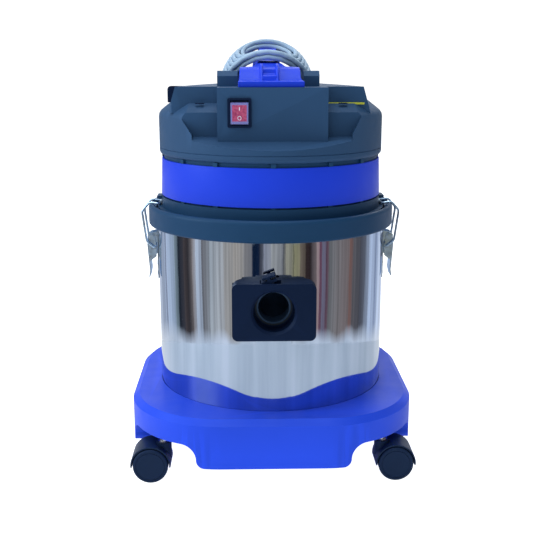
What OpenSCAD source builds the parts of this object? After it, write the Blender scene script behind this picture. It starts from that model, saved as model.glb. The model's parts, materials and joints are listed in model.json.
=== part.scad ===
// Wet and dry canister vacuum cleaner on a castered base, with its motor head latched on.
// Millimetres, +Z up, the front is -Y, and the origin is on the floor under the tank's axis.

/* [Tank] */
// Outer radius of the steel tank
tank_r = 150; // [140:1:160]
// Thickness of the tank's steel sheet
tank_wall = 1; // [0.8:0.1:1.2]
// Height of the tank's floor above the ground
tank_floor_z = 70; // [69:0.5:76]
// Height of the rim ring's lower edge above the ground
rim_z = 303.5; // [290:0.5:360]
// Height of the rim ring
rim_h = 27; // [25:0.5:32]
// How far the rim ring stands out from the tank
rim_out = 11.5; // [9:0.5:13]

/* [Base] */
// Half of the base's width
base_half = 182; // [178:1:200]
// Plan radius of the base's corners
base_corner = 118; // [105:1:140]
// Height of the base's flat top
base_top = 91; // [88:1:110]
// Height of the skirt's lower edge
skirt_z = 29; // [26:0.5:34]
// Half width of the skirt between two wheel arches
skirt_flat = 85; // [72:1:85]
// Radius of the skirt's lower corners
skirt_r = 10; // [6:0.5:10]
// Radius of a wheel arch
arch_r = 19; // [16:0.5:22]
// Wall of the base moulding
base_wall = 4; // [3:0.5:5]

/* [Casters] */
// Distance of a caster's stem from the middle of the base, along X and along Y
stem_at = 137; // [136:0.5:140]
// Radius of a caster's stem
stem_r = 5.5; // [4:0.25:6]
// Horizontal distance from the stem to the axle
caster_trail = 16; // [14:0.5:18]
// Radius of a caster's wheel
wheel_r = 22; // [20:0.5:22]
// Width across both wheels of a caster
caster_w = 42; // [38:0.5:42]
// Radius of the axle
axle_r = 3; // [2.5:0.25:4]
// Outer radius of a caster's hood
hood_r = 25; // [24.5:0.25:25.5]

/* [Head] */
// How far the head's wall stands inside the tank's radius
head_in = 6.5; // [6:0.5:10]
// Height of the blue band
band_h = 47; // [35:0.5:60]
// Height of the cover's wall, from the band's gap to the shoulder
cover_wall_h = 55; // [52:0.5:70]
// Wall of the head's mouldings
head_wall = 3; // [2.5:0.25:3.5]
// Height of the raised block above the cover's deck
block_h = 19.5; // [16:0.5:26]
// Depth of the front recess, from the cover's wall to its panel
recess_d = 50; // [44:0.5:54]
// Half width of the switch box
box_half = 66; // [60:0.5:72]
// How far the switch box stands out of the recess panel
box_out = 17; // [12:0.5:22]

/* [Handle] */
// Width of the grip
grip_w = 30; // [24:0.5:36]
// Height of the grip's top above the raised block
grip_h = 46; // [42:0.5:56]

/* [Hose inlet] */
// Width of the inlet housing
inlet_w = 99; // [90:1:110]
// Height of the inlet housing
inlet_h = 69; // [64:1:76]
// Height of the inlet's axis above the ground
inlet_z = 225; // [215:1:235]
// Distance of the inlet's face from the tank's axis
inlet_y = 179; // [177:0.5:181]
// Radius of the bore that takes the hose end
hose_r = 24.5; // [20:0.25:26]

/* [Latches] */
// Half width of a latch's fixed bracket
bracket_half = 11; // [10:0.2:13]
// Diameter of the bail's wire
wire_d = 3; // [2.5:0.25:3]

/* [Motor] */
// Radius of the motor's housing
motor_r = 58; // [50:1:62]
// Height of the motor's housing
motor_h = 78; // [70:1:84]

/* [Cord] */
// Diameter of the cord
cord_d = 6.2; // [5:0.1:7]

/* [Hidden] */
$fn = 64;
e = 0.01;

running_gap = 0.05;      // radial clearance of a pin or shaft that turns

// Levels of the tank and the rim
tank_top = rim_z + 13;
seat_z = rim_z + 17.5;
rim_r = tank_r + rim_out;
rim_in = tank_r - 4;

// Levels of the head, all counted from the flange that rests on the rim
flange_z = seat_z + 1.8;
flange_r = tank_r - 1;
flange_t = 4;
head_r = tank_r - head_in;
ring_top = flange_z + 18.2;
band_z = ring_top + 2;
band_top = band_z + band_h;
cover_z = band_top + 5;
groove_z = cover_z + 9;
shoulder_z = cover_z + cover_wall_h;
cover_r = head_r + 1.5;
deck_r = cover_r - 18;
deck_z = shoulder_z + 12.5;
block_z = deck_z + block_h;

// The recess, the switch box and the raised block
panel_y = -(cover_r - recess_d);
box_y = panel_y - box_out;
ledge_z = shoulder_z + 2;
recess_z = cover_z + 28;
block_front = panel_y + 18;
block_rear = 122;
block_plan = [[-118, block_front], [112, block_front], [96, -10], [74, 53], [52, block_rear],
              [-52, block_rear], [-76, 53], [-100, -10]];
block_flare = 1.08;
collar_left = [-67, -42];
collar_right = [39, 58.5];
collar_h = 18.5;

// The switch
switch_at = [-39.5, block_z - 29.5];
switch_w = 28.5;
switch_h = 34.5;
rocker_w = 21;
rocker_h = 28.5;
switch_pivot = box_y + 6;

// The casters
axle_z = wheel_r;
caster_half = caster_w / 2;
web_half = 5;
hood_half = 19;
hood_top = hood_r + wheel_r + 1;
arch_x = skirt_flat + skirt_r;
arch_z = skirt_z + skirt_r;
boss_z = arch_z + arch_r;
socket_wall = 2;
socket_top = 80;
CORNERS = [[-1, -1], [1, -1], [-1, 1], [1, 1]];

// A latch, seen from the front at the right-hand side: [distance from the tank's axis, height]
pin_a = [tank_r + 9, rim_z - 19.5];
pin_b = [tank_r + 4.5, rim_z - 33.5];
pin_r = 2;
ear_t = 1.5;
ear_y = bracket_half - ear_t;
cheek_y = bracket_half + 0.4;
cheek_t = 1.4;
bail_y = cheek_y + cheek_t + 0.4 + wire_d / 2;
bail_route = [pin_b, [tank_r + 14.6, rim_z - 25.5], [rim_r + 8.5, rim_z + 15.5],
              [rim_r - 1.5, rim_z + rim_h], [head_r + 3, flange_z + flange_t + wire_d / 2 + 0.6]];
notch_z = rim_z + 22;
bracket_u = tank_r + 0.2;
bracket_t = 1.2;
rivet_z = [rim_z - 71, rim_z - 57];

// The inlet
inlet_top = inlet_z + inlet_h / 2;
seal_t = 4;
spigot_r = hose_r - 4;
screw_r = 2;
inlet_screw_a = asin((inlet_w / 2 - 12) / tank_r);
inlet_screw_z = inlet_h / 2 - 10;
step_y = tank_r + seal_t;
lever_w = 22;
lever_x = -4;
lever_z = inlet_top + 2;
latch_pin_r = 1.5;

// The motor
motor_z = ring_top + 2;
shaft_r = 4;
fan_r = motor_r - 5;
fan_z = motor_z + 8;
bearing_r = 11;
bearing_h = 7;

// The handle's side view: [y, height above the block's top]
grip_top = block_z + grip_h;
grip_t = 14;
handle_front = box_y + 6;
handle_side = [[handle_front, 0], [handle_front, 7], [-86, 7], [-74, 19], [-62, 23], [-50, 25],
               [-40, 28], [8, 31], [40, grip_h], [102, grip_h], [114, 40], [120, 24], [120, 0], [104, 0],
               [101, 20], [94, grip_h - grip_t], [46, grip_h - grip_t], [8, 18], [-14, 12],
               [-30, 0]];
handle_x = -3;
// The handle's plan, counted from handle_x
handle_plan = [[-38, handle_front], [41, handle_front], [41, -86], [37, -66], [20, -54],
               [grip_w / 2, -8], [13, 40], [13, 102], [20, 120], [-20, 120], [-13, 102],
               [-13, 40], [-grip_w / 2, -8], [-20, -54], [-35, -66], [-38, -86]];
handle_screws = [[handle_x - 27, handle_front + 12], [handle_x + 31, handle_front + 12]];
rear_screw = [handle_x, 112];

// The cord: a coil that hangs over the handle like a saddle, and the lead to it
coil_x = -4;
coil_in = 51;
coil_out = coil_in + 2 * cord_d + 1.5;
coil_front = [-36, 8];
coil_rear = [57, 101];
coil_mid_half = 27;
coil_front_z = grip_top - coil_in - 14;
coil_rear_z = grip_top - coil_in + 0.6;
gland_at = [-40, 111, block_z];
lead_points = [gland_at + [0, 0, 8], gland_at + [0, 0, 16], gland_at + [2, 0, 27],
               gland_at + [10, -4, 40], gland_at + [22, -10, 48], gland_at + [36, -13.5, 49.7]];
tail_points = [[coil_x, 97.5, block_z + 55.9], [16, 98, block_z + 52.5], [37, 101, block_z + 39],
               [54, 106, block_z + 19], [59, 114, block_z + 5], [58, 124, block_z - 3],
               [55, 134, block_z - 14], [51, 143, block_z - 32], [50, 145, block_z - 54],
               [50, 150, block_z - 74], [51, 156.5, block_z - 90]];
plug_top = tail_points[len(tail_points) - 1];

// ---------- helpers ----------

function arc(c, r, a0, a1, n = 6) =
    [for (i = [0:n]) let (a = a0 + (a1 - a0) * i / n) c + r * [cos(a), sin(a)]];

module tube(r0, r1, z0, z1) {
    rotate_extrude() translate([r0, z0]) square([r1 - r0, z1 - z0]);
}

// A rod between two points
module rod(p, q, r) {
    v = q - p;
    translate(p) rotate([0, acos(v.z / norm(v)), atan2(v.y, v.x)]) cylinder(r = r, h = norm(v));
}

// A cylinder along Y between two values of y, at [x, z]
module rod_y(at, r, y0, y1) {
    translate([at.x, y1, at.y]) rotate([90, 0, 0]) cylinder(r = r, h = y1 - y0);
}

// An [x, z] outline extruded along Y between two values of y
module along_y(y0, y1) {
    translate([0, y1, 0]) rotate([90, 0, 0]) linear_extrude(height = y1 - y0) children();
}

// A [y, z] outline extruded along X between two values of x
module along_x(x0, x1) {
    translate([x0, 0, 0]) rotate([90, 0, 90]) linear_extrude(height = x1 - x0) children();
}

module rounded_rect(w, h, r) {
    square([w - 2 * r, h], center = true);
    square([w, h - 2 * r], center = true);
    for (sx = [-1, 1], sy = [-1, 1]) translate([sx * (w / 2 - r), sy * (h / 2 - r)]) circle(r);
}

// A pan-head screw along -Z with its head's underside at the origin
module screw(head_r, head_h, shank_r, length) {
    cylinder(r = head_r, h = head_h);
    translate([0, 0, -length]) cylinder(r = shank_r, h = length + e);
}

module at_corners() {
    for (c = CORNERS) translate([c.x * stem_at, c.y * stem_at, 0]) children();
}

// ---------- base and tank ----------

// A square slab with rounded corners and a bevel round its top edge
module slab(half, corner, z0, z1, bevel_w, bevel_h) {
    c = half - corner;
    side = [[-half, z0], [half, z0], [half, z1 - bevel_h], [half - bevel_w, z1],
            [bevel_w - half, z1], [-half, z1 - bevel_h]];
    along_y(-c, c) polygon(side);
    along_x(-c, c) polygon(side);
    for (s = CORNERS) translate([s.x * c, s.y * c, 0]) rotate_extrude()
        polygon([[0, z0], [corner, z0], [corner, z1 - bevel_h], [corner - bevel_w, z1], [0, z1]]);
}

module arch_outline() {
    translate([arch_x + arch_r, arch_z]) circle(arch_r);
    translate([arch_x, -1]) square([base_half, arch_z + 1]);
    translate([arch_x + arch_r, 0]) square([base_half, arch_z + arch_r]);
    difference() {
        translate([skirt_flat, -1]) square([skirt_r + e, arch_z + 1]);
        translate([skirt_flat, arch_z]) circle(skirt_r);
    }
}

module wheel_arches() {
    for (mx = [0, 1], my = [0, 1]) mirror([mx, 0, 0]) mirror([0, my, 0]) intersection() {
        along_y(0, base_half + 1) arch_outline();
        along_x(0, base_half + 1) arch_outline();
    }
}

module skirt_cross(half, z0, z1) {
    translate([-half, -base_half, z0]) cube([2 * half, 2 * base_half, z1 - z0]);
    translate([-base_half, -half, z0]) cube([2 * base_half, 2 * half, z1 - z0]);
}

module base() {
    well_r = tank_r + 0.3;
    inner = base_half - base_wall;
    color("royalblue") difference() {
        slab(base_half, base_corner, skirt_z, base_top, 8, 7);
        wheel_arches();
        translate([0, 0, tank_floor_z]) cylinder(r = well_r, h = base_top);
        // the underside is open up to the well's floor, and beside the well to the top
        intersection() {
            slab(inner, base_corner - base_wall, 0, base_top - base_wall - 2, 0, 0);
            skirt_cross(skirt_flat - base_wall, 0, base_top);
            difference() {
                translate([0, 0, -1]) cylinder(r = 2 * base_half, h = base_top);
                translate([0, 0, tank_floor_z - base_wall])
                    cylinder(r = well_r + base_wall, h = base_top);
            }
        }
        translate([0, 0, -1]) cylinder(r = well_r, h = skirt_z + 8);
        // a cell in each corner leaves a boss for the caster's socket
        difference() {
            slab(inner, base_corner - base_wall, 0, base_top - 2 * base_wall, 0, 0);
            skirt_cross(arch_x + base_wall, -1, base_top);
            cylinder(r = well_r + base_wall, h = base_top);
            at_corners() cylinder(r = stem_r + socket_wall + base_wall, h = base_top);
        }
        at_corners() cylinder(r = stem_r + socket_wall, h = socket_top);
        for (a = [45:90:315]) rotate([0, 0, a]) translate([tank_r - 60, 0, 0])
            cylinder(r = screw_r, h = base_top);
    }
}

module tank() {
    color("gainsboro") difference() {
        rotate_extrude() polygon([
            [0, tank_floor_z], [tank_r, tank_floor_z], [tank_r, tank_top],
            [tank_r - tank_wall, tank_top], [tank_r - tank_wall, tank_floor_z + tank_wall],
            [0, tank_floor_z + tank_wall]]);
        rod_y([0, inlet_z], spigot_r + 0.2, -tank_r - 5, 0);
        inlet_screw_holes();
        for (s = [-1, 1], z = rivet_z)
            translate([s * tank_r, 0, z]) rotate([0, 90, 0]) cylinder(r = 1.6, h = 10, center = true);
        for (a = [45:90:315]) rotate([0, 0, a]) translate([tank_r - 60, 0, tank_floor_z - 1])
            cylinder(r = screw_r, h = 5);
    }
}

module rim_ring() {
    top = rim_z + rim_h;
    color("darkslategray") difference() {
        rotate_extrude() polygon(concat(
            [[tank_r, rim_z]],
            arc([rim_r - 3, rim_z + 3], 3, -90, 0, 4),
            arc([rim_r - 5, top - 5], 5, 0, 80, 5),
            [[tank_r + 4, top - 2.5], [tank_r + 1.5, top - 4.5], [tank_r + 1.5, seat_z],
             [rim_in, seat_z], [rim_in, rim_z + 6.5], [tank_r - tank_wall, rim_z + 6.5],
             [tank_r - tank_wall, tank_top], [tank_r, tank_top]]));
        for (s = [-1, 1]) translate([s * rim_r, 0, notch_z + 10])
            cube([2 * (rim_out + 1), 2 * bail_y + 10, 20], center = true);
    }
}

module tank_screws() {
    color("silver") {
        for (a = [45:90:315]) rotate([0, 0, a])
            translate([tank_r - 60, 0, tank_floor_z + tank_wall]) screw(4, 2.5, screw_r, 7);
        for (a = [-inlet_screw_a, inlet_screw_a], sz = [-1, 1]) rotate([0, 0, a])
            translate([0, 0.1 + tank_wall - tank_r, inlet_z + sz * inlet_screw_z])
                rotate([-90, 0, 0]) screw(4, 2.5, screw_r, 12);
    }
}

module caster_sockets() {
    color("gray") at_corners() difference() {
        translate([0, 0, boss_z]) cylinder(r = stem_r + socket_wall, h = socket_top - boss_z);
        translate([0, 0, boss_z - 1]) cylinder(r = stem_r + running_gap, h = socket_top - boss_z);
    }
}

// ---------- hose inlet ----------

module inlet_screw_holes() {
    for (a = [-inlet_screw_a, inlet_screw_a], sz = [-1, 1]) rotate([0, 0, a])
        rod_y([0, inlet_z + sz * inlet_screw_z], screw_r, -tank_r - 13, 0);
}

module inlet_housing() {
    slot_w = lever_w + 3;
    color("midnightblue") difference() {
        translate([0, 0, inlet_z]) along_y(-inlet_y, -100) rounded_rect(inlet_w, inlet_h, 7);
        cylinder(r = tank_r, h = 2 * inlet_z);
        // the rear upper corners slope in towards the tank
        for (s = [0, 1]) mirror([s, 0, 0]) translate([0, 0, inlet_top - 7])
            linear_extrude(height = 10) polygon([[inlet_w / 2 + 1, 14 - inlet_y],
                [inlet_w / 2 + 1, -100], [inlet_w / 3, -100], [inlet_w / 3, 7 - tank_r]]);
        rod_y([0, inlet_z], hose_r, -inlet_y - 1, -step_y);
        rod_y([0, inlet_z], hose_r - 2, -inlet_y - 1, -100);
        translate([0, -inlet_y - e, inlet_z]) rotate([-90, 0, 0])
            cylinder(r1 = hose_r + 3, r2 = hose_r, h = 3);
        // the slot for the hose latch
        translate([lever_x - slot_w / 2, -inlet_y + 3, inlet_top - 8]) cube([slot_w, 18, 11]);
        rod_y([lever_x, lever_z - 5], latch_pin_r, -inlet_y + 1.5, -inlet_y + 24);
        inlet_screw_holes();
    }
}

module inlet_seal() {
    color("black") rotate([90, 0, 0]) translate([0, inlet_z, 0])
        tube(spigot_r, hose_r - 2, tank_r + e, step_y - 0.1);
}

// A bend that starts along +Y at [0, y, z] and turns down through 75 degrees
module bend_down(y, r, bend_r) {
    translate([0, y, inlet_z - bend_r]) rotate([0, -90, 0]) intersection() {
        rotate_extrude() translate([bend_r, 0]) circle(r);
        translate([-20, 0, -50]) cube([100, 100, 100]);
    }
}

module inlet_elbow() {
    bend_r = 34;
    y0 = -tank_r + 18;
    color("dimgray") difference() {
        union() {
            rod_y([0, inlet_z], spigot_r, 0.5 - step_y, y0 + e);
            rod_y([0, inlet_z], hose_r + 5, -tank_r + 7, -tank_r + 9);
            bend_down(y0, spigot_r, bend_r);
        }
        rod_y([0, inlet_z], spigot_r - 2, -step_y, y0 + 2 * e);
        bend_down(y0, spigot_r - 2, bend_r);
    }
}

module hose_latch() {
    color("black") translate([lever_x, 0, lever_z - 5]) rotate([0, -18, 0]) difference() {
        union() {
            translate([-lever_w / 2 + 1, -inlet_y + 4.5, 3]) cube([lever_w - 3, 15, 3.5]);
            translate([-lever_w / 2 + 4, -inlet_y + 4.5, 9]) cube([lever_w - 6, 15, 2.5]);
            translate([-2, -inlet_y + 4.5, 3]) cube([4, 15, 7]);
            rod_y([0, 0], 4, -inlet_y + 4.5, -inlet_y + 19.5);
            translate([-3, -inlet_y + 4.5, 0]) cube([6, 15, 4]);
        }
        rod_y([0, 0], latch_pin_r + running_gap, -inlet_y, -inlet_y + 24);
    }
}

module hose_latch_pin() {
    color("silver") rod_y([lever_x, lever_z - 5], latch_pin_r, -inlet_y + 1.6, -inlet_y + 23.9);
}

// ---------- tank latches ----------

module latch_bracket() {
    u = bracket_u;
    difference() {
        union() {
            translate([u, -bracket_half, rim_z - 77]) cube([bracket_t, 2 * bracket_half, 65]);
            for (y = [-bracket_half, ear_y]) {
                along_y(y, y + ear_t) polygon([[u, pin_a.y - 8], [u, pin_a.y + 7],
                    [pin_a.x, pin_a.y + 5], [pin_a.x, pin_a.y - 5]]);
                rod_y(pin_a, 5, y, y + ear_t);
            }
        }
        rod_y(pin_a, pin_r, -bracket_half - 1, bracket_half + 1);
        for (z = rivet_z) translate([u, 0, z]) rotate([0, 90, 0])
            cylinder(r = 1.6, h = 10, center = true);
    }
}

module latch_brackets() {
    color("silver") {
        latch_bracket();
        mirror([1, 0, 0]) latch_bracket();
    }
}

module latch_rivets() {
    color("silver") for (m = [0, 1], z = rivet_z) mirror([m, 0, 0]) {
        translate([bracket_u + bracket_t, 0, z]) rotate([0, 90, 0]) screw(3, 1.4, 1.6, 3.2);
        translate([tank_r - tank_wall - 1.5, 0, z]) rotate([0, 90, 0]) cylinder(r = 2.6, h = 1.1);
    }
}

module latch_pins() {
    outer = cheek_y + cheek_t + 0.3;
    color("silver") for (m = [0, 1]) mirror([m, 0, 0]) {
        rod_y(pin_a, pin_r, -outer - e, outer + e);
        for (y = [-outer - 1.2, outer]) rod_y(pin_a, 3.2, y, y + 1.2);
    }
}

module latch_lever() {
    x = tank_r + 14;
    plate_top = rim_z - 29;
    knee = [tank_r + 11.2, rim_z - 66];
    inner = cheek_y + cheek_t;
    difference() {
        union() {
            for (y = [-inner, cheek_y]) along_y(y, y + cheek_t) {
                translate(pin_a) circle(4.5);
                translate(pin_b) circle(2.6);
                polygon([pin_a + [-4.5, 0], pin_a + [4.5, 0], [x + 0.5, plate_top],
                         [tank_r + 11.8, rim_z - 53], [tank_r + 2.6, rim_z - 46],
                         pin_b + [-2.6, 0]]);
            }
            along_y(-inner, inner) polygon([
                [x - 0.7, plate_top], [x + 0.7, plate_top], knee + [0.8, 0],
                [tank_r + 13.4, rim_z - 74], [tank_r + 12.2, rim_z - 74.6], knee + [-0.8, 0]]);
        }
        rod_y(pin_a, pin_r + running_gap, -20, 20);
        rod_y(pin_b, wire_d / 2 + running_gap, -20, 20);
    }
}

module latch_lever_left() {
    color("silver") mirror([1, 0, 0]) latch_lever();
}

module latch_lever_right() {
    color("silver") latch_lever();
}

// Sets two corner points and a middle one in place of each inner point of a route
function soften(p, d) = concat([p[0]],
    [for (i = [1:len(p) - 2]) let (a = p[i] + d * unit(p[i - 1] - p[i]),
                                   b = p[i] + d * unit(p[i + 1] - p[i]))
     each [a, (a + b + 2 * p[i]) / 4, b]], [p[len(p) - 1]]);

module latch_bail() {
    r = wire_d / 2;
    last = len(bail_route) - 1;
    for (s = [0, 1]) mirror([0, s, 0]) rod_y(pin_b, r, cheek_y + 0.1, bail_y + 1);
    legs = [for (q = bail_route) [q.x, -bail_y, q.y]];
    back = [for (i = [last:-1:0]) [bail_route[i].x, bail_y, bail_route[i].y]];
    sweep(soften(concat(legs, back), 3), r, 12);
}

module latch_bail_left() {
    color("silver") mirror([1, 0, 0]) latch_bail();
}

module latch_bail_right() {
    color("silver") latch_bail();
}

// ---------- head ----------

module head_ring() {
    inner_r = head_r - head_wall;
    sleeve_r = head_r - 4;
    color("darkslategray") {
        rotate_extrude() polygon([
            [rim_in - 8, flange_z], [flange_r, flange_z], [flange_r, flange_z + flange_t],
            [head_r, flange_z + flange_t], [head_r, ring_top], [sleeve_r, ring_top],
            [sleeve_r, cover_z], [sleeve_r - 2.5, cover_z], [sleeve_r - 2.5, ring_top],
            [45, ring_top], [45, ring_top - 4], [inner_r - 1, ring_top - 4],
            [inner_r - 1, flange_z + flange_t], [rim_in - 8, flange_z + flange_t]]);
        for (a = [0, 29, 51, 90, 129, 151, 180, 209, 231, 270, 309, 331]) rotate([0, 0, a - 90]) {
            translate([sleeve_r - 1, -3, ring_top - 1]) cube([4, 6, band_z - ring_top + 1 - e]);
            translate([sleeve_r - 1, -3, band_top + e]) cube([4, 6, cover_z - band_top - 2 * e]);
        }
        for (s = [-1, 1]) translate([s * (head_r + 2), 0, flange_z + 14.2])
            cube([9, 24, 4], center = true);
    }
}

module head_gasket() {
    color("black") tube(rim_in + 0.5, flange_r - 0.5, seat_z + 0.4, flange_z);
}

module blue_band() {
    color("blue") rotate_extrude() polygon([
        [head_r - 3.8, band_z], [head_r + 0.3, band_z], [head_r - 1.2, band_top],
        [head_r - 3.8, band_top]]);
}

module head_body(inset) {
    r = cover_r - inset;
    top = deck_z - inset;
    front = panel_y + inset;
    difference() {
        rotate_extrude() polygon(concat(
            [[0, cover_z]], arc([r - 5, cover_z + 5], 5, -90, 0, 4),
            inset > 0 ? [] : [[r, groove_z - 0.7], [r - 0.8, groove_z], [r, groove_z + 0.7]],
            [[r, shoulder_z - 7], [r - 0.7, shoulder_z - 3], [r - 3, shoulder_z + 0.6],
             [r - 7, shoulder_z + 4], [deck_r - inset, deck_z - inset], [0, top]]));
        // the front recess: a panel with leaning ends above a sloping ledge
        intersection() {
            along_x(-150, 150) polygon([
                [front, recess_z - inset], [front, ledge_z - inset],
                [front + 17.5, deck_z - inset], [front + 17.5, deck_z + 9], [-200, deck_z + 9],
                [-200, recess_z - inset - 0.25 * (200 + front)]]);
            along_y(-200, 0) polygon([
                [-96 - inset, recess_z - 30], [96 + inset, recess_z - 30], [96 + inset, recess_z + 3],
                [110 + inset, ledge_z], [110 + inset, deck_z + 10], [-115 - inset, deck_z + 10],
                [-115 - inset, ledge_z], [-97 - inset, recess_z + 3]]);
        }
    }
    // the raised block
    intersection() {
        hull() {
            translate([0, 0, block_z - inset - 1]) linear_extrude(height = 1)
                offset(delta = -inset) polygon(block_plan);
            translate([0, 0, shoulder_z]) linear_extrude(height = 1)
                offset(delta = -inset) scale([block_flare, 1]) polygon(block_plan);
        }
        cylinder(r = cover_r - inset, h = block_z + 10);
    }
    // the switch box
    along_x(-box_half + inset, box_half - inset) polygon([
        [box_y - 1 + inset, recess_z - 8 + (inset > 0 ? 6 : 0)], [box_y + inset, block_z - inset],
        [block_front + 5, block_z - inset], [block_front + 5, recess_z - 8 + (inset > 0 ? 6 : 0)]]);
}

module head_cover() {
    color("slategray") difference() {
        union() {
            head_body(0);
            // the collar beside the handle's front mount
            for (xs = [collar_left, collar_right]) along_x(xs[0], xs[1])
                polygon([[-68, block_z - 2], [-68, block_z + 12.5], [-62, block_z + collar_h],
                         [-42, block_z + collar_h], [-38, block_z + 14], [-38, block_z - 2]]);
        }
        head_body(head_wall);
        translate([0, 0, cover_z - 1]) cylinder(r = cover_r - head_wall - 2, h = 8);
        // windows for the switch and holes for the screws and the gland
        translate([switch_at.x, 0, switch_at.y]) along_y(box_y - 5, box_y + 5)
            square([switch_w - 3, switch_h - 3], center = true);
        for (p = concat(handle_screws, [rear_screw]))
            translate([p.x, p.y, block_z - 10]) cylinder(r = screw_r, h = 12);
        translate(gland_at - [0, 0, 10]) cylinder(r = 6, h = 20);
    }
}

module head_screws() {
    color("silver") {
        for (p = handle_screws) translate([p.x, p.y, block_z + 4.5]) screw(3.6, 1.6, screw_r, 14);
        translate([rear_screw.x, rear_screw.y, block_z - head_wall]) mirror([0, 0, 1])
            screw(3.6, 1.6, screw_r, 14);
    }
}

module switch_frame() {
    color("black") translate([switch_at.x, 0, switch_at.y]) difference() {
        union() {
            along_y(box_y - 3, box_y - 1 + e) rounded_rect(switch_w, switch_h, 2);
            along_y(box_y - 1, box_y + 14) square([switch_w - 4, switch_h - 4], center = true);
        }
        along_y(box_y - 4, box_y + 12) square([rocker_w + 0.8, rocker_h + 0.8], center = true);
        translate([-20, switch_pivot, 0]) rotate([0, 90, 0]) cylinder(r = 1.5, h = 40);
    }
}

module switch_rocker() {
    half = rocker_h / 2;
    pivot = switch_pivot;
    color("firebrick") translate([switch_at.x, 0, switch_at.y]) {
        along_x(-rocker_w / 2, rocker_w / 2) polygon([
            [pivot + 2, -6], [pivot - 6.6, -half + 0.7], [box_y - 2.8, -half + 1],
            [box_y - 3.4, 0], [box_y - 5.6, half - 3], [pivot - 5, half - 1.2], [pivot + 2, 6]]);
        translate([-rocker_w / 2 - 1.2, pivot, 0]) rotate([0, 90, 0])
            cylinder(r = 1.41, h = rocker_w + 2.4);
    }
}

// A solid from the floor up to a round top that follows the coil's inside
module crown(y0, y1, z) {
    translate([coil_x, 0, z]) along_y(y0, y1) {
        circle(coil_in - 0.3);
        translate([0, -100]) square([200, 200], center = true);
    }
}

module handle() {
    color("blue") difference() {
        intersection() {
            translate([0, 0, block_z]) along_x(-60, 60) polygon(handle_side);
            translate([handle_x, 0, block_z - 1]) linear_extrude(height = grip_h + 4)
                polygon(handle_plan);
            // the top is crowned where the cord lies on it
            union() {
                translate([-60, handle_front - 1, 0]) cube([120, coil_front[0] - handle_front + 1, 900]);
                crown(coil_front[0] - 1, coil_front[1], coil_front_z);
                crown(coil_front[1] - 1, 130, coil_rear_z);
            }
        }
        // screw recesses, and the two ribs stand between shallow pockets
        for (p = handle_screws) {
            translate([p.x, p.y, block_z - 1]) cylinder(r = screw_r, h = grip_h);
            translate([p.x, p.y, block_z + 4.5]) cylinder(r = 4.2, h = grip_h);
        }
        translate([rear_screw.x, rear_screw.y, block_z - 1]) cylinder(r = screw_r, h = 13);
        for (xs = [[-35, -16], [10, 32]]) along_x(xs[0], xs[1])
            polygon([[-87, block_z + 7], [-87, block_z + 12], [-64, block_z + 30],
                     [-64, block_z + 21], [-74, block_z + 17]]);
    }
}

module accessory_plate() {
    color("black") {
        translate([0, 0, deck_z]) along_y(58, 62)
            polygon(concat([[-102, 0], [-102, 16.5]], arc([-134, 11.5], 5, 90, 180, 4),
                           [[-139, -5.5], [-134, -6], [-112, 0]]));
        translate([-108, 54, deck_z]) cube([12, 12, 3]);
    }
}

module cord_gland() {
    color("black") translate(gland_at) difference() {
        union() {
            translate([0, 0, -6]) cylinder(r = 6, h = 12);
            cylinder(r = 8.5, h = 4);
            cylinder(r = 5.5, h = 8);
        }
        translate([0, 0, -8]) cylinder(r = cord_d / 2, h = 20);
    }
}

// ---------- cord ----------

module coil_arch(ys, z) {
    intersection() {
        translate([coil_x, 0, z]) rotate([90, 0, 0]) translate([0, 0, -ys[1]])
            linear_extrude(height = ys[1] - ys[0]) difference() {
                circle(coil_out);
                circle(coil_in);
            }
        translate([-100, ys[0], block_z + 0.6]) cube([200, ys[1] - ys[0], 100]);
    }
}

module cord_coil() {
    mid_z = (coil_front_z + coil_rear_z) / 2;
    color("lightsteelblue") {
        coil_arch(coil_front, coil_front_z);
        coil_arch(coil_rear, coil_rear_z);
        difference() {
            coil_arch([coil_front[1] - e, coil_rear[0] + e], mid_z);
            translate([coil_x - coil_mid_half, coil_front[1] - 1, block_z])
                cube([2 * coil_mid_half, 60, 100]);
        }
    }
}

function unit(v) = v / norm(v);

// Points along a smooth curve through the given ones
function curve_at(p, i, t) =
    let (a = p[max(i - 1, 0)], b = p[i], c = p[i + 1], d = p[min(i + 2, len(p) - 1)])
    0.5 * (2 * b + (c - a) * t + (2 * a - 5 * b + 4 * c - d) * t * t
           + (3 * b - a - 3 * c + d) * t * t * t);

function curve(p, steps) = concat(
    [for (i = [0:len(p) - 2], k = [0:steps - 1]) curve_at(p, i, k / steps)], [p[len(p) - 1]]);

function tangent(p, i) = unit(p[min(i + 1, len(p) - 1)] - p[max(i - 1, 0)]);

// A normal carried along the curve without twisting
function normal(p, i) = let (t = tangent(p, i), n = i == 0 ? [1, 0.2, 0.1] : normal(p, i - 1))
    unit(n - (n * t) * t);

module sweep(p, r, sides = 10) {
    last = len(p) - 1;
    points = [for (i = [0:last]) let (t = tangent(p, i), n = normal(p, i), b = cross(t, n))
              for (k = [0:sides - 1]) let (a = 360 * k / sides) p[i] + r * (cos(a) * n + sin(a) * b)];
    walls = [for (i = [0:last - 1], k = [0:sides - 1]) let (j = (k + 1) % sides)
             [i * sides + k, (i + 1) * sides + k, (i + 1) * sides + j, i * sides + j]];
    polyhedron(points, concat(walls, [[for (k = [0:sides - 1]) k],
                                      [for (k = [sides - 1:-1:0]) last * sides + k]]));
}

module cord_lead() {
    color("lightsteelblue") sweep(curve(lead_points, 2), cord_d / 2);
}

module cord_tail() {
    color("lightsteelblue") sweep(curve(tail_points, 2), cord_d / 2);
}

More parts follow.
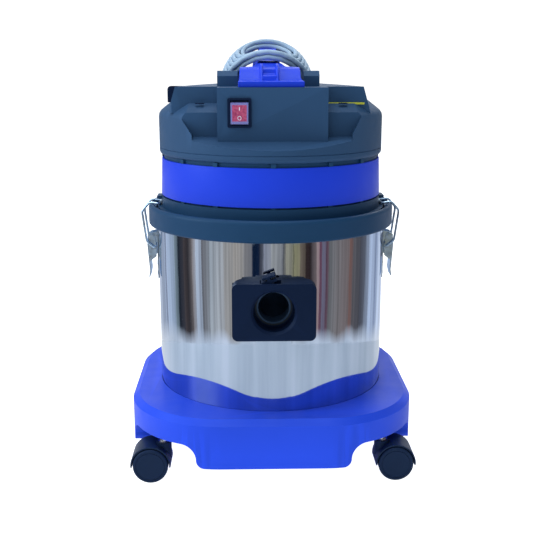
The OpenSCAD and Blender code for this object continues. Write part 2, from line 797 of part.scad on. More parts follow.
module plug() {
    color("dimgray") translate(plug_top) {
        rotate([180, 0, 0]) {
            cylinder(r = 5.5, h = 12);
            translate([0, 0, 12 - e]) cylinder(r1 = 7, r2 = 15, h = 12);
            translate([0, 0, 24 - 2 * e]) cylinder(r = 17, h = 14);
            for (s = [-1, 1]) translate([s * 9.5, 0, 38 - 3 * e]) cylinder(r = 2.4, h = 17);
        }
    }
}

// ---------- motor ----------

housing_z = motor_z + 4;

module motor_plate() {
    color("lightgray") tube(30, head_r - 8, ring_top + e, motor_z);
}

module motor_cushion() {
    color("black") tube(motor_r - 10, motor_r + 1, motor_z + e, housing_z - e);
}

module motor_housing() {
    r = motor_r;
    w = 2;
    color("gainsboro") difference() {
        translate([0, 0, housing_z]) rotate_extrude() polygon([
            [22, 0], [r, 0], [r, 34], [r - 5, 36], [r - 5, motor_h - 4], [r - 9, motor_h],
            [bearing_r, motor_h], [bearing_r, motor_h - 8], [bearing_r + w, motor_h - 8],
            [bearing_r + w, motor_h - w], [r - 10, motor_h - w], [r - 5 - w, motor_h - 6],
            [r - 5 - w, 38], [bearing_r + w, 38], [bearing_r + w, 42], [bearing_r, 42],
            [bearing_r, 34], [r - w, 34 - w], [r - w, w], [22, w]]);
        for (a = [0:60:300]) rotate([0, 0, a]) translate([r - 20, -8, housing_z + motor_h - 9])
            cube([30, 16, 6]);
    }
}

module motor_stator() {
    color("dimgray") tube(motor_r - 24, motor_r - 7, housing_z + 46, housing_z + 66);
}

module motor_shaft() {
    color("silver") translate([0, 0, housing_z + 6]) cylinder(r = shaft_r, h = motor_h + 6);
}

module motor_armature() {
    color("peru") {
        tube(shaft_r, motor_r - 26, housing_z + 46, housing_z + 66);
        tube(shaft_r, 13, housing_z + 66 - e, housing_z + motor_h - 9);
    }
}

module motor_brushes() {
    color("black") for (s = [-1, 1])
        translate([s * 23, 0, housing_z + 67.5]) cube([18, 5, 2.4], center = true);
}

module impeller(z, r, h) {
    tube(shaft_r, 9, z, z + h);
    tube(shaft_r, r, z, z + 1.5);
    for (a = [0:45:315]) rotate([0, 0, a]) translate([8, -0.75, z]) cube([r - 9, 1.5, h]);
}

module motor_fans() {
    color("lightgray") {
        impeller(housing_z + 8, motor_r - 6, 9);
        impeller(housing_z + 20, motor_r - 6, 9);
        impeller(housing_z + motor_h + 1.5, motor_r - 20, 8);
    }
}

module motor_bearings() {
    color("silver") for (z = [35, motor_h - 7.5])
        tube(shaft_r + running_gap, bearing_r, housing_z + z, housing_z + z + bearing_h);
}

module sound_foam() {
    color("gray") tube(head_r - 20, head_r - 7, motor_z + 1, band_top);
}

// ---------- filter and float ----------

cage_top = ring_top - 4;
cage_z = cage_top - 87;
float_z = cage_z + 4;

module float_cage() {
    color("white") {
        tube(44, 58, cage_top - 3, cage_top);
        for (a = [0:60:300]) rotate([0, 0, a]) translate([50, 0, cage_z + 1]) cylinder(r = 2.5, h = 84);
        tube(20, 53, cage_z, cage_z + 2.5);
    }
}

module float_cup() {
    color("orange") difference() {
        translate([0, 0, float_z]) cylinder(r = 40, h = 45);
        translate([0, 0, float_z - 1]) cylinder(r = 38, h = 43);
    }
}

module filter_cloth() {
    color("beige") rotate_extrude() polygon([
        [0, cage_z - 18], [78, cage_z - 18], [126, cage_top - 4], [132, cage_top - 4],
        [132, cage_top], [122, cage_top], [122, cage_top - 3], [76, cage_z - 16],
        [0, cage_z - 16]]);
}

// ---------- casters ----------

// Puts a caster's pieces at one corner, with its trail pointing away from the middle
module caster_at(c) {
    translate([c.x * stem_at, c.y * stem_at, 0]) mirror([c.x < 0 ? 1 : 0, 0, 0]) children();
}

module hood(c) {
    color("black") caster_at(c) difference() {
        union() {
            intersection() {
                rod_y([caster_trail, axle_z], hood_r, -hood_half, hood_half);
                translate([-60, -60, axle_z - 2]) cube([120, 120, 60]);
            }
            translate([0, 0, axle_z + 4]) cylinder(r = 9.5, h = hood_top - axle_z - 4);
            rod_y([caster_trail, axle_z], 7.5, -web_half, web_half);
        }
        for (s = [-1, 1]) rod_y([caster_trail, axle_z], wheel_r + 1.2,
                                s > 0 ? web_half : -60, s > 0 ? 60 : -web_half);
        rod_y([caster_trail, axle_z], axle_r + running_gap, -10, 10);
        translate([0, 0, axle_z + 16]) cylinder(r = stem_r, h = 60);
    }
}

module stem(c) {
    color("silver") caster_at(c) {
        translate([0, 0, axle_z + 16]) cylinder(r = stem_r, h = socket_top - axle_z - 18);
        translate([0, 0, hood_top + e]) cylinder(r = stem_r + 1.5, h = 1);
    }
}

module axle(c) {
    color("silver") caster_at(c)
        rod_y([caster_trail, axle_z], axle_r, 3 - caster_half, caster_half - 3);
}

module wheels(c) {
    inner = web_half + 1;
    outer = caster_half;
    color("black") caster_at(c) for (s = [0, 1]) mirror([0, s, 0])
        translate([caster_trail, 0, axle_z]) rotate([-90, 0, 0]) difference() {
            rotate_extrude() polygon(concat(
                [[0, inner], [wheel_r - 2, inner], [wheel_r, inner + 2]],
                arc([wheel_r - 2.5, outer - 2.5], 2.5, 0, 90, 4),
                [[wheel_r - 3.6, outer], [wheel_r - 4.2, outer - 0.8], [wheel_r - 4.8, outer],
                 [0, outer - 0.2]]));
            cylinder(r = axle_r, h = outer - 3);
        }
}

module front_left_hood() { hood(CORNERS[0]); }
module front_left_stem() { stem(CORNERS[0]); }
module front_left_axle() { axle(CORNERS[0]); }
module front_left_wheels() { wheels(CORNERS[0]); }
module front_right_hood() { hood(CORNERS[1]); }
module front_right_stem() { stem(CORNERS[1]); }
module front_right_axle() { axle(CORNERS[1]); }
module front_right_wheels() { wheels(CORNERS[1]); }
module rear_left_hood() { hood(CORNERS[2]); }
module rear_left_stem() { stem(CORNERS[2]); }
module rear_left_axle() { axle(CORNERS[2]); }
module rear_left_wheels() { wheels(CORNERS[2]); }
module rear_right_hood() { hood(CORNERS[3]); }
module rear_right_stem() { stem(CORNERS[3]); }
module rear_right_axle() { axle(CORNERS[3]); }
module rear_right_wheels() { wheels(CORNERS[3]); }

// ---------- drawing ----------

base();
tank();
rim_ring();
tank_screws();
caster_sockets();
inlet_housing();
inlet_seal();
inlet_elbow();
hose_latch();
hose_latch_pin();
latch_brackets();
latch_rivets();
latch_pins();
latch_lever_left();
latch_lever_right();
latch_bail_left();
latch_bail_right();
head_ring();
head_gasket();
blue_band();
head_cover();
head_screws();
switch_frame();
switch_rocker();
handle();
accessory_plate();
cord_gland();
cord_coil();
cord_lead();
cord_tail();
plug();
motor_plate();
motor_cushion();
motor_housing();
motor_stator();
motor_shaft();
motor_armature();
motor_brushes();
motor_fans();
motor_bearings();
sound_foam();
float_cage();
float_cup();
filter_cloth();
front_left_hood();
front_left_stem();
front_left_axle();
front_left_wheels();
front_right_hood();
front_right_stem();
front_right_axle();
front_right_wheels();
rear_left_hood();
rear_left_stem();
rear_left_axle();
rear_left_wheels();
rear_right_hood();
rear_right_stem();
rear_right_axle();
rear_right_wheels();
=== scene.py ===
"""Looks of the wet and dry vacuum: cord, softened mouldings, polished tank, stage and light."""
import json
import math

import bmesh
import bpy
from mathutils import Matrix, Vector


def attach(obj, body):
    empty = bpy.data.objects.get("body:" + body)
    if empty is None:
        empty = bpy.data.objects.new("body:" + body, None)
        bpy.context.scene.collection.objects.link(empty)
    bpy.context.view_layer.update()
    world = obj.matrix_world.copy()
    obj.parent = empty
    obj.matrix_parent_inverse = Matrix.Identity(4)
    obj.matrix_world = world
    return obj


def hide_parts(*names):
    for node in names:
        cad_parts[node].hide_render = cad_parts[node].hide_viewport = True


MM = 0.001
WELD = 2e-6  # points closer than this are one point, in metres
FLAT_ANGLE = 0.6  # faces that turn by less than this, in degrees, are one face
SHARP_ANGLE = 28  # edges that turn by more than this, in degrees, are rounded
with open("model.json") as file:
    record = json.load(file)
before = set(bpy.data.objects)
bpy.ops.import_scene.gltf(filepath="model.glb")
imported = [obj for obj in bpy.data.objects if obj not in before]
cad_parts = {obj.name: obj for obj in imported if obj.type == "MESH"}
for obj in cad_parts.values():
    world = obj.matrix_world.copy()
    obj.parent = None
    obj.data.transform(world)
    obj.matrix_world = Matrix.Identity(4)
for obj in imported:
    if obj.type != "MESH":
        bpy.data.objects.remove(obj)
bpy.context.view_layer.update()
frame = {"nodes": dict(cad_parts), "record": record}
NODES = frame["nodes"]


def srgb(red, green, blue, alpha=1.0):
    """A colour given as 0-255 display values, as the linear values that shaders take."""
    def linear(v):
        v /= 255
        return v / 12.92 if v <= 0.04045 else ((v + 0.055) / 1.055) ** 2.4
    return (linear(red), linear(green), linear(blue), alpha)


# ---------- camera ----------

ORBIT = math.radians(1.4)
DISTANCE = 1.199
PITCH = math.radians(12.95)
scene = bpy.context.scene
scene.view_settings.view_transform = "Standard"
camera_data = bpy.data.cameras.new("camera")
camera_data.lens = 61.15
camera_data.sensor_width = 36
camera_data.shift_x = -0.0075
camera = bpy.data.objects.new("camera", camera_data)
camera.location = (-DISTANCE * math.sin(ORBIT), -DISTANCE * math.cos(ORBIT), 0.5155)
camera.rotation_euler = (math.radians(90) - PITCH, 0, -ORBIT)
scene.collection.objects.link(camera)
scene.camera = camera


# ---------- making pieces ----------

def add_object(name, data):
    obj = bpy.data.objects.new(name, data)
    scene.collection.objects.link(obj)
    return obj


def finished(obj, body, material, replaced=()):
    """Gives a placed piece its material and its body."""
    obj.data.materials.clear()
    obj.data.materials.append(material)
    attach(obj, body)
    if replaced:
        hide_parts(*replaced)
    return obj


def body_of(node):
    for body, members in frame["record"]["behaviour"]["bodies"].items():
        if node in members:
            return body
    raise KeyError(node)


def slot_of(node):
    return next(s["material_slot"] for s in frame["record"]["subparts"] if s["node"] == node)


def shade(mesh, angle=32):
    mesh.shade_smooth()
    mesh.set_sharp_from_angle(angle=math.radians(angle))


def weigh_normals(obj):
    modifier = obj.modifiers.new("normals", "WEIGHTED_NORMAL")
    modifier.keep_sharp = True
    modifier.weight = 80


def rounded(source, target, width, segments, limit, delimit):
    """Writes a copy of a mesh with its sharp edges rounded; the width is in millimetres."""
    bm = bmesh.new()
    bm.from_mesh(source)
    bmesh.ops.remove_doubles(bm, verts=bm.verts, dist=WELD)
    bmesh.ops.dissolve_limit(bm, angle_limit=math.radians(FLAT_ANGLE), verts=bm.verts,
                             edges=bm.edges, delimit=delimit)
    sharp = [e for e in bm.edges
             if len(e.link_faces) == 2 and e.calc_face_angle(0) > math.radians(limit)]
    bmesh.ops.bevel(bm, geom=sharp, offset=width * MM, offset_type="OFFSET",
                    segments=segments, profile=0.5, affect="EDGES", clamp_overlap=True,
                    miter_outer="ARC")
    bmesh.ops.recalc_face_normals(bm, faces=bm.faces)
    bm.to_mesh(target)
    bm.free()
    shade(target)


def softened(node, width, segments=3, material=None):
    """Stands a copy of a CAD node with its edges rounded in the node's place."""
    mesh = bpy.data.meshes.new(node + "_soft")
    rounded(NODES[node].data, mesh, width, segments, SHARP_ANGLE, {"NORMAL"})
    obj = add_object(node + "_soft", mesh)
    weigh_normals(obj)
    slot = slot_of(node)
    return finished(obj, body_of(node), material or MATERIALS[slot], (node,))


def revolved(name, profile, segments=192):
    """A closed ring swept from a loop of (radius, height) points in millimetres."""
    bm = bmesh.new()
    rings = []
    for k in range(segments):
        a = 2 * math.pi * k / segments
        rings.append([bm.verts.new((r * MM * math.cos(a), r * MM * math.sin(a), z * MM))
                      for r, z in profile])
    count = len(profile)
    for k in range(segments):
        here, there = rings[k], rings[(k + 1) % segments]
        for i in range(count):
            j = (i + 1) % count
            bm.faces.new((here[i], there[i], there[j], here[j]))
    bmesh.ops.remove_doubles(bm, verts=bm.verts, dist=1e-7)
    bmesh.ops.recalc_face_normals(bm, faces=bm.faces)
    mesh = bpy.data.meshes.new(name)
    bm.to_mesh(mesh)
    bm.free()
    shade(mesh)
    return add_object(name, mesh)


def combine(obj, other, operation):
    """Joins, cuts or intersects a piece with another one, which is used up."""
    modifier = obj.modifiers.new("combine", "BOOLEAN")
    modifier.operation = operation
    modifier.solver = "EXACT"
    modifier.object = other
    bpy.context.view_layer.update()
    evaluated = obj.evaluated_get(bpy.context.evaluated_depsgraph_get())
    mesh = bpy.data.meshes.new_from_object(evaluated)
    obj.modifiers.clear()
    old, obj.data = obj.data, mesh
    used = other.data
    bpy.data.meshes.remove(old)
    bpy.data.objects.remove(other)
    bpy.data.meshes.remove(used)
    shade(mesh)


def drill(obj, place, turn, radius, depth, sides=64):
    """Cuts a round hole through a piece; place, radius and depth are in millimetres."""
    bm = bmesh.new()
    bmesh.ops.create_cone(bm, cap_ends=True, segments=sides, radius1=radius * MM,
                          radius2=radius * MM, depth=depth * MM)
    mesh = bpy.data.meshes.new("drill")
    bm.to_mesh(mesh)
    bm.free()
    cutter = add_object("drill", mesh)
    cutter.location = Vector(place) * MM
    cutter.rotation_euler = turn
    combine(obj, cutter, "DIFFERENCE")


def round_edges(obj, width):
    """Rounds the sharp edges of a piece that was made here."""
    rounded(obj.data, obj.data, width, 3, SHARP_ANGLE, set())
    weigh_normals(obj)


def fillet(points, radius, steps=4):
    """Rounds the corners of a closed loop of 2-D points."""
    result = []
    count = len(points)
    for i, p in enumerate(points):
        before = Vector(points[i - 1]) - Vector(p)
        after = Vector(points[(i + 1) % count]) - Vector(p)
        reach = min(radius[i] if isinstance(radius, (list, tuple)) else radius,
                    0.45 * before.length, 0.45 * after.length)
        if reach < 1e-6:
            result.append(tuple(p))
            continue
        a = Vector(p) + before.normalized() * reach
        b = Vector(p) + after.normalized() * reach
        for k in range(steps + 1):
            t = k / steps
            q = (1 - t) ** 2 * a + 2 * t * (1 - t) * Vector(p) + t * t * b
            result.append((q.x, q.y))
    return result


def tube_mesh(name, points, radii, sides=24):
    """A closed tube along 3-D points (metres), with a radius for each point."""
    bm = bmesh.new()
    normal = Vector((1, 0.2, 0.1))
    rings = []
    for i, p in enumerate(points):
        t = (points[min(i + 1, len(points) - 1)] - points[max(i - 1, 0)]).normalized()
        normal = (normal - normal.dot(t) * t).normalized()
        side = t.cross(normal)
        rings.append([bm.verts.new(p + radii[i] * (math.cos(a) * normal + math.sin(a) * side))
                      for a in (2 * math.pi * k / sides for k in range(sides))])
    for here, there in zip(rings, rings[1:]):
        for k in range(sides):
            j = (k + 1) % sides
            bm.faces.new((here[k], here[j], there[j], there[k]))
    bm.faces.new(list(reversed(rings[0])))
    bm.faces.new(rings[-1])
    bmesh.ops.recalc_face_normals(bm, faces=bm.faces)
    mesh = bpy.data.meshes.new(name)
    bm.to_mesh(mesh)
    bm.free()
    shade(mesh, 50)
    return add_object(name, mesh)


def block_mesh(name, corners, low, high, axis, width):
    """A flat outline extruded along an axis (0 X, 1 Y, 2 Z), millimetres, with rounded edges."""
    bm = bmesh.new()

    def at(p, level):
        point = list(p)
        point.insert(axis, level)
        return Vector(point) * MM
    bottom = [bm.verts.new(at(p, low)) for p in corners]
    top = [bm.verts.new(at(p, high)) for p in corners]
    bm.faces.new(bottom)
    bm.faces.new(list(reversed(top)))
    for i in range(len(corners)):
        j = (i + 1) % len(corners)
        bm.faces.new((bottom[i], top[i], top[j], bottom[j]))
    bmesh.ops.recalc_face_normals(bm, faces=bm.faces)
    if width:
        edges = [e for e in bm.edges if e.calc_face_angle(0) > math.radians(SHARP_ANGLE)]
        bmesh.ops.bevel(bm, geom=edges, offset=width * MM, offset_type="OFFSET", segments=3,
                        profile=0.5, affect="EDGES", clamp_overlap=True)
    mesh = bpy.data.meshes.new(name)
    bm.to_mesh(mesh)
    bm.free()
    shade(mesh)
    obj = add_object(name, mesh)
    weigh_normals(obj)
    return obj


# ---------- materials ----------

def start_material(name, kind="ShaderNodeBsdfPrincipled"):
    """A material with one shader on its surface; gives the material, its tree and the shader."""
    material = bpy.data.materials.new(name)
    material.use_nodes = True
    tree = material.node_tree
    tree.nodes.clear()
    output = tree.nodes.new("ShaderNodeOutputMaterial")
    shader = tree.nodes.new(kind)
    tree.links.new(shader.outputs[0], output.inputs["Surface"])
    return material, tree, shader


def feed(tree, socket, value):
    """Sets a socket to a constant, or links it to the output that is given."""
    if isinstance(value, (int, float, tuple)):
        socket.default_value = value
    else:
        tree.links.new(value, socket)


def maths(tree, operation, *values):
    node = tree.nodes.new("ShaderNodeMath")
    node.operation = operation
    for socket, value in zip(node.inputs, values):
        feed(tree, socket, value)
    return node.outputs[0]


def noise(tree, scale, detail=2.0, stretch=(1, 1, 1), roughness=0.5):
    """A noise texture in the piece's own space; its factor output is returned."""
    place = tree.nodes.new("ShaderNodeTexCoord")
    mapping = tree.nodes.new("ShaderNodeMapping")
    mapping.inputs["Scale"].default_value = stretch
    texture = tree.nodes.new("ShaderNodeTexNoise")
    texture.inputs["Scale"].default_value = scale
    texture.inputs["Detail"].default_value = detail
    texture.inputs["Roughness"].default_value = roughness
    tree.links.new(place.outputs["Object"], mapping.inputs["Vector"])
    tree.links.new(mapping.outputs["Vector"], texture.inputs["Vector"])
    return texture.outputs["Fac"]


def mapped(tree, value, low, high, from_low=0.3, from_high=0.7):
    node = tree.nodes.new("ShaderNodeMapRange")
    node.inputs["From Min"].default_value = from_low
    node.inputs["From Max"].default_value = from_high
    node.inputs["To Min"].default_value = low
    node.inputs["To Max"].default_value = high
    tree.links.new(value, node.inputs["Value"])
    return node.outputs["Result"]


def mixed(tree, factor, first, second):
    """A blend of two colours, each of them a constant or an output."""
    node = tree.nodes.new("ShaderNodeMix")
    node.data_type = "RGBA"
    feed(tree, node.inputs["Factor"], factor)
    feed(tree, node.inputs[6], first)
    feed(tree, node.inputs[7], second)
    return node.outputs[2]


def bumped(tree, shader, height, strength, distance, below=None):
    node = tree.nodes.new("ShaderNodeBump")
    node.inputs["Strength"].default_value = strength
    node.inputs["Distance"].default_value = distance
    tree.links.new(height, node.inputs["Height"])
    if below is not None:
        tree.links.new(below, node.inputs["Normal"])
    tree.links.new(node.outputs["Normal"], shader.inputs["Normal"])
    return node.outputs["Normal"]


def shaded(colour, factor):
    return tuple(min(1.0, c * factor) for c in colour[:3]) + (1.0,)


def plastic(name, colour, roughness, grain=900, depth=0.00012, spread=0.06, specular=0.5,
            worn=1.25):
    """Moulded plastic: fine grain, slow variation of tone, and slightly paler worn edges."""
    material, tree, shader = start_material(name)
    slow = mapped(tree, noise(tree, 9, 3), 0, 1)
    body = mixed(tree, slow, shaded(colour, 1 - spread), shaded(colour, 1 + spread))
    geometry = tree.nodes.new("ShaderNodeNewGeometry")
    edge = mapped(tree, geometry.outputs["Pointiness"], 0, 0.6, 0.51, 0.58)
    tree.links.new(mixed(tree, edge, body, shaded(colour, worn)), shader.inputs["Base Color"])
    tree.links.new(mapped(tree, noise(tree, 35, 4), roughness - 0.05, roughness + 0.07),
                   shader.inputs["Roughness"])
    shader.inputs["Specular IOR Level"].default_value = specular
    shader.inputs["Specular Tint"].default_value = (0.45, 0.68, 1.0, 1)
    bumped(tree, shader, noise(tree, grain, 3), 0.35, depth)
    return material


def metal(name, colour, roughness, mottle=60, spread=0.08, stretch=(1, 1, 1), depth=0.00002):
    material, tree, shader = start_material(name)
    patches = mapped(tree, noise(tree, mottle, 4, stretch), 0, 1)
    tree.links.new(mixed(tree, patches, shaded(colour, 1 - spread), shaded(colour, 1 + spread)),
                   shader.inputs["Base Color"])
    tree.links.new(mapped(tree, noise(tree, mottle * 1.7, 3, stretch), roughness * 0.75,
                          roughness * 1.3), shader.inputs["Roughness"])
    shader.inputs["Metallic"].default_value = 1.0
    bumped(tree, shader, noise(tree, mottle * 6, 3, stretch), 0.25, depth)
    return material


def fibrous(name, colour, scale, depth, pores=False):
    """Open foam or needle felt."""
    material, tree, shader = start_material(name)
    place = tree.nodes.new("ShaderNodeTexCoord")
    cells = tree.nodes.new("ShaderNodeTexVoronoi")
    cells.inputs["Scale"].default_value = scale
    tree.links.new(place.outputs["Object"], cells.inputs["Vector"])
    fine = noise(tree, scale * 0.8, 5)
    height = cells.outputs["Distance"] if pores else fine
    tone = mapped(tree, height, 0, 1, 0.1, 0.8)
    tree.links.new(mixed(tree, tone, shaded(colour, 0.7), shaded(colour, 1.2)),
                   shader.inputs["Base Color"])
    shader.inputs["Roughness"].default_value = 0.92
    shader.inputs["Sheen Weight"].default_value = 0.2
    bumped(tree, shader, height, 0.7, depth)
    return material


def polished_tank():
    """Mirror steel: the sheet's slow waviness, faint vertical polish lines, and tall upright streaks
    in its colour that are partly uneven polish and partly painted reflection streaks.
    """
    material, tree, shader = start_material("tank_steel_look")
    # upright streaks in the steel's colour: partly uneven polish, partly painted reflection streaks
    # like those of the room it mirrors
    polish_and_reflection_streaks = mapped(tree, noise(tree, 60, 4, (1, 1, 0.04)), 0, 1)
    tree.links.new(mixed(tree, polish_and_reflection_streaks, (0.38, 0.47, 0.6, 1), (0.52, 0.61, 0.76, 1)),
                   shader.inputs["Base Color"])
    tree.links.new(mapped(tree, noise(tree, 22, 3, (1, 1, 0.2)), 0.035, 0.085),
                   shader.inputs["Roughness"])
    shader.inputs["Metallic"].default_value = 1.0
    lines = bumped(tree, shader, noise(tree, 160, 2, (1, 1, 0.02)), 0.05, 0.0002)
    bumped(tree, shader, noise(tree, 11, 2, (1, 1, 0.22)), 0.35, 0.0012, lines)
    return material


# the red middle of the rocker: along which axis, its centre and its half size, in metres
ROCKER_WINDOW = (("X", -0.0395, 0.0082), ("Z", 0.4522, 0.0092))
ROCKER_FADE = 0.0009


def rocker_look():
    """Red translucent plastic with clear lilac borders, glossy."""
    material, tree, shader = start_material("rocker_look")
    place = tree.nodes.new("ShaderNodeTexCoord")
    split = tree.nodes.new("ShaderNodeSeparateXYZ")
    tree.links.new(place.outputs["Object"], split.inputs[0])
    edges = []
    for socket, centre, reach in ROCKER_WINDOW:
        away = maths(tree, "ABSOLUTE", maths(tree, "SUBTRACT", split.outputs[socket], centre))
        edges.append(mapped(tree, away, 0, 1, reach, reach + ROCKER_FADE))
    border = maths(tree, "MAXIMUM", *edges)
    tone = mapped(tree, noise(tree, 420, 3), 0, 1)
    red = mixed(tree, tone, srgb(150, 42, 92), srgb(206, 84, 128))
    tree.links.new(mixed(tree, border, red, srgb(122, 124, 190)),
                   shader.inputs["Base Color"])
    shader.inputs["Roughness"].default_value = 0.16
    shader.inputs["Subsurface Weight"].default_value = 0.25
    shader.inputs["Subsurface Radius"].default_value = (0.004, 0.001, 0.001)
    shader.inputs["Coat Weight"].default_value = 0.5
    bumped(tree, shader, noise(tree, 500, 2), 0.1, 0.00005)
    return material


MATERIALS = {
    "blue_plastic": plastic("blue_look", (0.010, 0.042, 0.62, 1), 0.4, 700, 0.00008, 0.05, 0.26),
    "head_plastic": plastic("head_look", (0.023, 0.062, 0.138, 1), 0.5, 1100, 0.00025, 0.07, 0.22),
    "ring_plastic": plastic("ring_look", (0.010, 0.044, 0.108, 1), 0.45, 1000, 0.00015, 0.06, 0.22),
    "black_plastic": plastic("black_look", (0.003, 0.009, 0.034, 1), 0.5, 1000, 0.0002, 0.07, 0.16),
    "caster_plastic": plastic("caster_look", (0.008, 0.018, 0.05, 1), 0.4, 600, 0.00006, 0.08, 0.16),
    "rocker_plastic": rocker_look(),
    "tank_steel": polished_tank(),
    "zinc_steel": metal("zinc_look", (0.42, 0.58, 0.76, 1), 0.34, 160, 0.2),
    "steel": metal("steel_look", (0.6, 0.63, 0.67, 1), 0.26, 70, 0.08, (1, 1, 0.2)),
    "motor_metal": metal("motor_look", (0.62, 0.64, 0.67, 1), 0.4, 40, 0.06),
    "copper_windings": metal("copper_look", (0.7, 0.33, 0.16, 1), 0.35, 300, 0.2, (1, 1, 6)),
    "carbon": plastic("carbon_look", (0.02, 0.02, 0.022, 1), 0.7, 900, 0.0002),
    "seal_rubber": plastic("seal_look", (0.018, 0.02, 0.024, 1), 0.7, 700, 0.0002),
    "cord_rubber": plastic("cord_look", (0.3, 0.42, 0.56, 1), 0.5, 500, 0.0001, 0.08, 0.4, 1.1),
    "plug_plastic": plastic("plug_look", (0.2, 0.27, 0.36, 1), 0.55, 600, 0.0002),
    "inner_plastic": plastic("inner_look", (0.03, 0.06, 0.12, 1), 0.5, 600, 0.0002),
    "foam": fibrous("foam_look", (0.05, 0.05, 0.055, 1), 500, 0.0015, True),
    "filter_fabric": fibrous("felt_look", (0.62, 0.58, 0.47, 1), 900, 0.0006),
}
# a paler, greener copy of the blue plastic for the base: painted light, standing in for the light
# that the base's top catches from above
LIT_BASE_BLUE = plastic("base_lit_look", (0.014, 0.062, 0.7, 1), 0.4, 700, 0.00008, 0.05, 0.3)
MARK = plastic("mark_look", srgb(226, 214, 236), 0.4, 800, 0.00002, 0.03)
STRIP = plastic("strip_look", srgb(176, 178, 40), 0.45, 900, 0.00003, 0.1)
for node_name, cad_object in NODES.items():
    cad_object.data.materials.clear()
    cad_object.data.materials.append(MATERIALS[slot_of(node_name)])
    shade(cad_object.data, 30)

# ---------- cord ----------

CORD_D = 6.2
BLOCK_Z = 482.0
COIL_X = -4.0
COIL_Y = 32.3
COLUMNS = 7
GLAND = Vector((-40, 111, BLOCK_Z))


def smoothstep(t):
    t = max(0.0, min(1.0, t))
    return t * t * (3 - 2 * t)


def saddle_centre(y):
    """Height of the axis that the coil bends round: the handle is lower at the front."""
    return 463 + 14.6 * smoothstep(y / 44)


def turn_point(u, half_width, half_flat, radius):
    """One turn is a stadium laid over the handle, from its rear top towards +X."""
    perimeter = 4 * half_flat + 2 * math.pi * half_width
    run = (u % 1.0) * perimeter
    bend = math.pi * half_width
    if run < half_flat:
        s, y = run, half_width
    elif run < half_flat + bend:
        a = (run - half_flat) / half_width
        s, y = half_flat + half_width * math.sin(a), half_width * math.cos(a)
    elif run < 3 * half_flat + bend:
        s, y = 2 * half_flat + bend - run, -half_width
    elif run < 3 * half_flat + 2 * bend:
        a = (run - 3 * half_flat - bend) / half_width
        s, y = -half_flat - half_width * math.sin(a), -half_width * math.cos(a)
    else:
        s, y = run - perimeter, half_width
    y += COIL_Y
    return Vector((COIL_X + radius * math.sin(s / radius), y,
                   saddle_centre(y) + radius * math.cos(s / radius)))


def coil_points(steps=28):
    turns = [(c, 0) for c in range(COLUMNS - 1, -1, -1)] + [(c, 1) for c in range(COLUMNS)]

    def sizes(turn):
        column, layer = turn
        return (28 + CORD_D * column, 4.8 + 9.0 * layer, 51 + CORD_D / 2 + CORD_D * layer)
    points = []
    for i, turn in enumerate(turns):
        now, after = sizes(turn), sizes(turns[min(i + 1, len(turns) - 1)])
        for k in range(steps):
            u = k / steps
            b = smoothstep((u - 0.7) / 0.25)
            points.append(turn_point(u, *[p + (q - p) * b for p, q in zip(now, after)]))
    points.append(turn_point(0, *sizes(turns[-1])))
    return points


def through(points, steps):
    """Points along a smooth curve through the given ones."""
    result = []
    for i in range(len(points) - 1):
        a, b = points[max(i - 1, 0)], points[i]
        c, d = points[i + 1], points[min(i + 2, len(points) - 1)]
        for k in range(steps):
            t = k / steps
            result.append(0.5 * (2 * b + (c - a) * t + (2 * a - 5 * b + 4 * c - d) * t * t
                                 + (3 * b - a - 3 * c + d) * t ** 3))
    result.append(points[-1])
    return result


LEAD = [GLAND + Vector(p) for p in ((0, 0, 8), (0, 0, 16), (2, 0, 27), (10, -4, 40),
                                    (22, -10, 48), (36, -13.5, 49.7))]
TAIL = [Vector((x, y, BLOCK_Z + z)) for x, y, z in (
    (COIL_X, 97.5, 55.9), (16, 98, 52.5), (37, 101, 39), (54, 106, 19), (59, 114, 5), (58, 124, -3),
    (55, 134, -14), (51, 143, -32), (50, 145, -54), (50, 150, -74), (51, 156.5, -90))]
lead_line = through(LEAD, 5)
tail_line = through(TAIL, 5)
cord_line = lead_line[:-1] + coil_points()[:-1] + tail_line
cord_curve = bpy.data.curves.new("cord", "CURVE")
cord_curve.dimensions = "3D"
cord_curve.bevel_depth = CORD_D / 2 * MM
cord_curve.bevel_resolution = 5
cord_curve.use_fill_caps = True
spline = cord_curve.splines.new("POLY")
spline.points.add(len(cord_line) - 1)
for slot_point, place in zip(spline.points, cord_line):
    slot_point.co = (*(place * MM), 1)
spline.use_smooth = True
cord = add_object("cord", cord_curve)
finished(cord, "head", MATERIALS["cord_rubber"],
         ("cord_coil", "cord_lead", "cord_tail"))

# A ribbed strain relief that tapers along the start of the lead
relief_radii = []
relief_path = [p * MM for p in through(LEAD[:4], 20)]
relief_points = relief_path[:int(0.68 * len(relief_path))]
for k in range(len(relief_points)):
    t = k / (len(relief_points) - 1)
    rib = 0.35 * (1 if k % 6 < 3 else -1) if 0.08 < t < 0.95 else 0
    relief_radii.append((5.3 - 1.6 * t + rib) * MM)
relief = tube_mesh("cord_relief", relief_points, relief_radii)
finished(relief, "head", MATERIALS["black_plastic"])

plug = softened("plug", 1.6)

# ---------- mouldings ----------

softened("head_cover", 1.6)
# the base takes the paler copy of the blue plastic, which is painted light on its top
softened("base", 2.0, material=LIT_BASE_BLUE)
softened("inlet_housing", 1.5)
softened("hose_latch", 0.5, 2)
softened("switch_frame", 0.5, 2)
softened("switch_rocker", 0.6, 2)
softened("accessory_plate", 0.8, 2)
softened("cord_gland", 0.6, 2)
for side in ("left", "right"):
    softened("latch_lever_" + side, 0.35, 2)
softened("latch_brackets", 0.4, 2)
for caster in ("front_left", "front_right", "rear_left", "rear_right"):
    softened(caster + "_hood", 1.2)
    softened(caster + "_wheels", 0.5, 2)

# ---------- handle ----------

